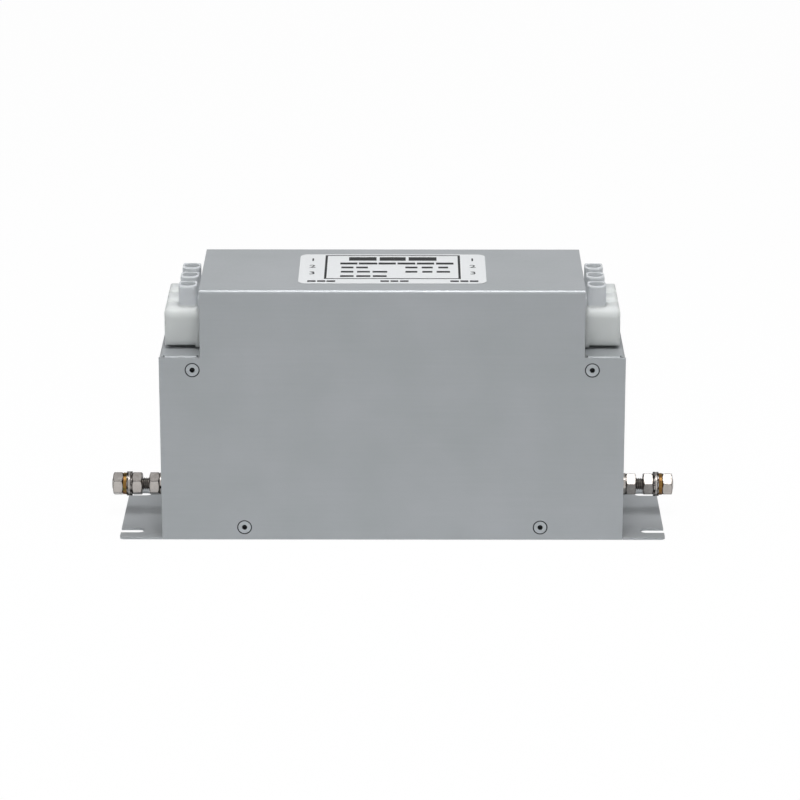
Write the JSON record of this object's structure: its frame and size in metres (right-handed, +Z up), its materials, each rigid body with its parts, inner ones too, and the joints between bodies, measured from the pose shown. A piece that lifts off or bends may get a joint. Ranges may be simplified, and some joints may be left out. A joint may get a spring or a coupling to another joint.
{
  "type": "three-phase emi line filter",
  "caption": "Chassis-mounted mains filter in a stepped zinc-coated steel housing, with screw-cage terminals on both shoulders, earth studs on the end walls and slotted feet",
  "frame": {"origin": "centre of the overall length and depth, on the plane of the mounting surface", "axes": "+X runs along the body from the line end to the load end, +Y from the front wall to the back wall, +Z up from the feet to the label"},
  "size_m": [0.2724, 0.07, 0.1248],
  "materials": {
    "zinc_sheet": "satin zinc-coated steel sheet, with a fine even grain and softly polished bends",
    "rivet_steel": "bright zinc-plated blind rivets and their broken mandrels",
    "label_film": "white polyester label film with a black printed frame",
    "terminal_nylon": "natural white nylon, slightly translucent, semi-gloss as moulded",
    "clamp_steel": "nickel-plated steel clamping cages and slotted screws",
    "bare_copper": "tinned copper bar and wire, dull",
    "nickel_steel": "nickel-plated steel bolts, nuts and washers, bright",
    "yellow_zinc": "yellow-passivated zinc-plated spring steel",
    "enamelled_copper": "enamelled copper winding wire, glossy red-brown",
    "core_alloy": "grey nanocrystalline ring core",
    "case_plastic": "green moulded core case",
    "saddle_plastic": "black moulded nylon saddle",
    "board_laminate": "green glass-epoxy laminate",
    "capacitor_yellow": "yellow moulded capacitor cases",
    "capacitor_blue": "blue dipped capacitor",
    "resistor_ceramic": "tan lacquered ceramic resistor bodies",
    "pillar_nylon": "natural nylon board pillars"
  },
  "bodies": {
    "root": {"base_plate": "zinc_sheet", "board_pillars": "pillar_nylon", "capacitor_board_line": "board_laminate", "capacitor_board_load": "board_laminate", "choke_core": "core_alloy", "choke_saddle": "saddle_plastic", "clamp_screws": "clamp_steel", "contact_bar_line_1": "bare_copper", "contact_bar_line_2": "bare_copper", "contact_bar_line_3": "bare_copper", "contact_bar_load_1": "bare_copper", "contact_bar_load_2": "bare_copper", "contact_bar_load_3": "bare_copper", "core_case": "case_plastic", "core_lid": "case_plastic", "cover": "zinc_sheet", "cover_rivets": "rivet_steel", "discharge_resistors": "resistor_ceramic", "earth_bolt_line": "nickel_steel", "earth_bolt_load": "nickel_steel", "earth_clamp_nut_line": "nickel_steel", "earth_clamp_nut_load": "nickel_steel", "earth_contact_washer_line": "nickel_steel", "earth_contact_washer_load": "nickel_steel", "earth_lock_nut_line": "nickel_steel", "earth_lock_nut_load": "nickel_steel", "earth_lug_spring_line": "yellow_zinc", "earth_lug_spring_load": "yellow_zinc", "earth_outer_nut_line": "nickel_steel", "earth_outer_nut_load": "nickel_steel", "earth_tooth_washers_line": "nickel_steel", "earth_tooth_washers_load": "nickel_steel", "earth_wall_spring_line": "nickel_steel", "earth_wall_spring_load": "nickel_steel", "earth_wall_washers_line": "nickel_steel", "earth_wall_washers_load": "nickel_steel", "end_bracket_line": "zinc_sheet", "end_bracket_load": "zinc_sheet", "rating_label": "label_film", "rivet_mandrels": "rivet_steel", "tap_wires_line": "bare_copper", "tap_wires_load": "bare_copper", "terminal_cage_line_1": "clamp_steel", "terminal_cage_line_2": "clamp_steel", "terminal_cage_line_3": "clamp_steel", "terminal_cage_load_1": "clamp_steel", "terminal_cage_load_2": "clamp_steel", "terminal_cage_load_3": "clamp_steel", "terminal_housing_line_1": "terminal_nylon", "terminal_housing_line_2": "terminal_nylon", "terminal_housing_line_3": "terminal_nylon", "terminal_housing_load_1": "terminal_nylon", "terminal_housing_load_2": "terminal_nylon", "terminal_housing_load_3": "terminal_nylon", "winding_1": "enamelled_copper", "winding_2": "enamelled_copper", "winding_3": "enamelled_copper", "x_capacitors_line": "capacitor_yellow", "x_capacitors_load": "capacitor_yellow", "y_capacitor": "capacitor_blue"}
  },
  "joints": []
}
